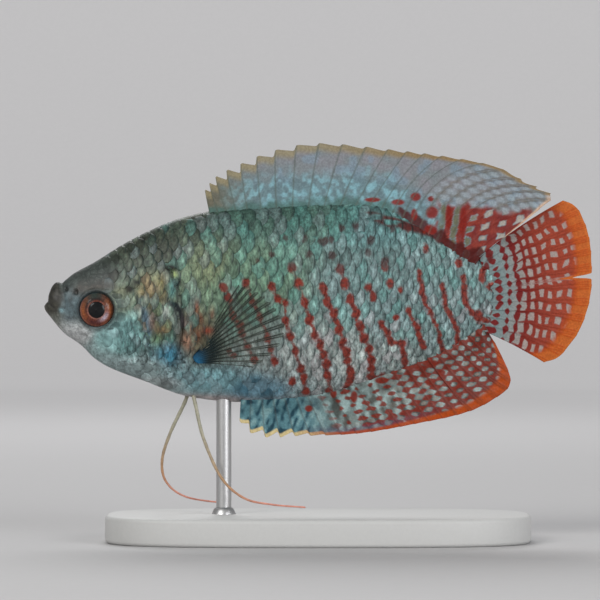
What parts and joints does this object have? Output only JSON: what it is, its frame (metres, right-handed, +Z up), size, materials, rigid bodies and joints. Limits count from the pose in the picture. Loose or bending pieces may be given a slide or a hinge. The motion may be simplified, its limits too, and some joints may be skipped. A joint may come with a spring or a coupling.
{
  "type": "dwarf gourami model on stand",
  "caption": "Still life-size model of a male dwarf gourami with all fins spread and thread-like pelvic fins, held level by a short rod on a flat display base.",
  "frame": {"origin": "middle of the underside of the display base", "axes": "+Z up, the fish's head along -X, its left side along -Y and its right side along +Y"},
  "size_m": [0.0801, 0.034, 0.0582],
  "materials": {
    "skin": "wet silvery turquoise scales with dark edges and rows of red spots",
    "lips": "soft moist dark skin",
    "eyes": "glossy clear dome over a red-orange ring and a black pupil",
    "fins": "thin satin web with raised rays, spotted red and pale blue with an orange margin",
    "clear_fins": "thin clear web with dark raised rays",
    "threads": "smooth, olive at the root to orange-pink at the tip",
    "stand_base": "satin pale grey acrylic",
    "stand_rod": "satin"
  },
  "bodies": {
    "root": {"head": "skin", "trunk": "skin", "tail_stalk": "skin", "gill_cover_left": "skin", "gill_cover_right": "skin", "upper_lip": "lips", "lower_lip": "lips", "eye_left": "eyes", "eye_right": "eyes", "dorsal_fin": "fins", "anal_fin": "fins", "caudal_fin": "fins", "pectoral_fin_left": "clear_fins", "pectoral_fin_right": "clear_fins", "pelvic_fin_left": "threads", "pelvic_fin_right": "threads", "stand_base": "stand_base", "stand_rod": "stand_rod"}
  },
  "joints": []
}
